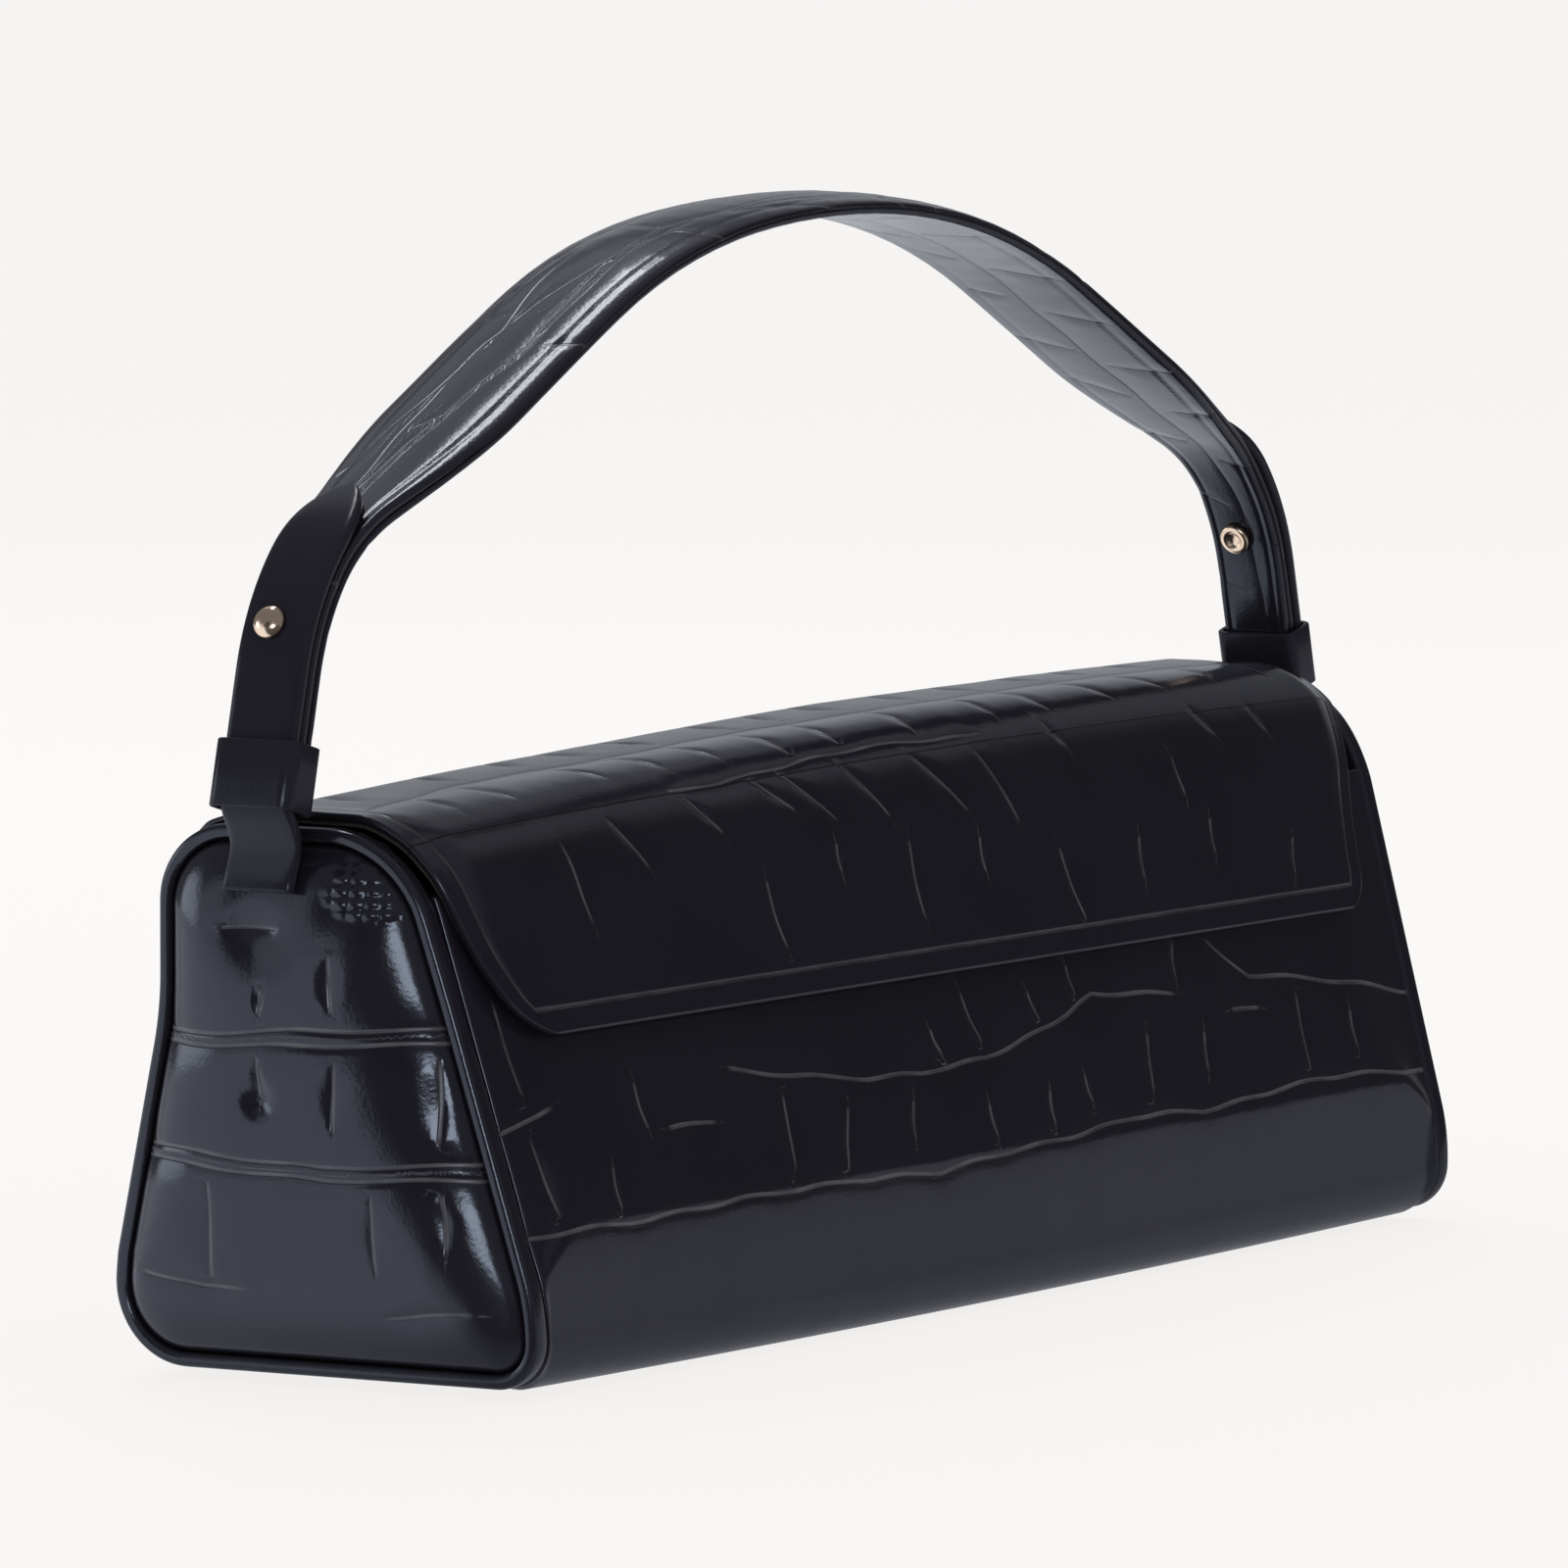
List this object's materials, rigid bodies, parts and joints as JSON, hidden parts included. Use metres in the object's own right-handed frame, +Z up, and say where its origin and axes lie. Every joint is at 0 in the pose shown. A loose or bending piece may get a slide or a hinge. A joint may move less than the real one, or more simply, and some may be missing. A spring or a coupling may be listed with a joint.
{
  "type": "top handle bag",
  "caption": "Slim top handle bag with a wedge-shaped body, a fold-over flap with a folding lip, and an arched strap handle on two studded end tabs with keepers.",
  "frame": {"origin": "on the floor under the middle of the bag's bounding box", "axes": "+X along the bag, -Y towards the front where the lip closes, +Z up"},
  "size_m": [0.3424, 0.0795, 0.184],
  "materials": {
    "leather": "glossy black leather embossed with a scale pattern",
    "lining": "plain dark woven lining",
    "board": "stiffening fibre board inside the walls",
    "gold": "polished pale gold plating",
    "steel": "plain magnetic snap"
  },
  "bodies": {
    "body": {"front_panel": "leather", "base_panel": "leather", "back_panel": "leather", "front_board": "board", "base_board": "board", "back_board": "board", "front_lining": "lining", "base_lining": "lining", "back_lining": "lining", "left_gusset": "leather", "right_gusset": "leather", "left_rim": "leather", "right_rim": "leather", "left_lining": "lining", "right_lining": "lining", "left_tab_foot": "leather", "right_tab_foot": "leather", "snap_socket": "steel"},
    "flap": {"flap_top_leather": "leather", "flap_top_lining": "lining"},
    "lip": {"lip_leather": "leather", "lip_lining": "lining", "snap_stud": "steel"},
    "handle": {"strap_leather": "leather", "strap_lining": "leather", "left_tab": "leather", "right_tab": "leather", "left_stud": "gold", "right_stud": "gold", "left_stud_screw": "gold", "right_stud_screw": "gold"},
    "left_keeper": {"left_keeper": "leather"},
    "right_keeper": {"right_keeper": "leather"}
  },
  "joints": [
    {"name": "flap_hinge", "type": "hinge", "parent": "body", "child": "flap", "pos_m": [0, 0.02474, 0.0855], "axis": [-1, 0, 0], "range_deg": [0, 36]},
    {"name": "lip_fold", "type": "hinge", "parent": "flap", "child": "lip", "pos_m": [0, -0.01795, 0.08813], "axis": [-1, 0, 0], "range_deg": [0, 90]},
    {"name": "handle_tilt", "type": "hinge", "parent": "body", "child": "handle", "pos_m": [0, 0.0035, 0.088], "axis": [1, 0, 0], "range_deg": [-12, 12]},
    {"name": "left_keeper_slide", "type": "slide", "parent": "handle", "child": "left_keeper", "axis": [0.2492, 0, 0.9685], "range_m": [0, 0.007]},
    {"name": "right_keeper_slide", "type": "slide", "parent": "handle", "child": "right_keeper", "axis": [-0.2492, 0, 0.9685], "range_m": [0, 0.007]}
  ]
}
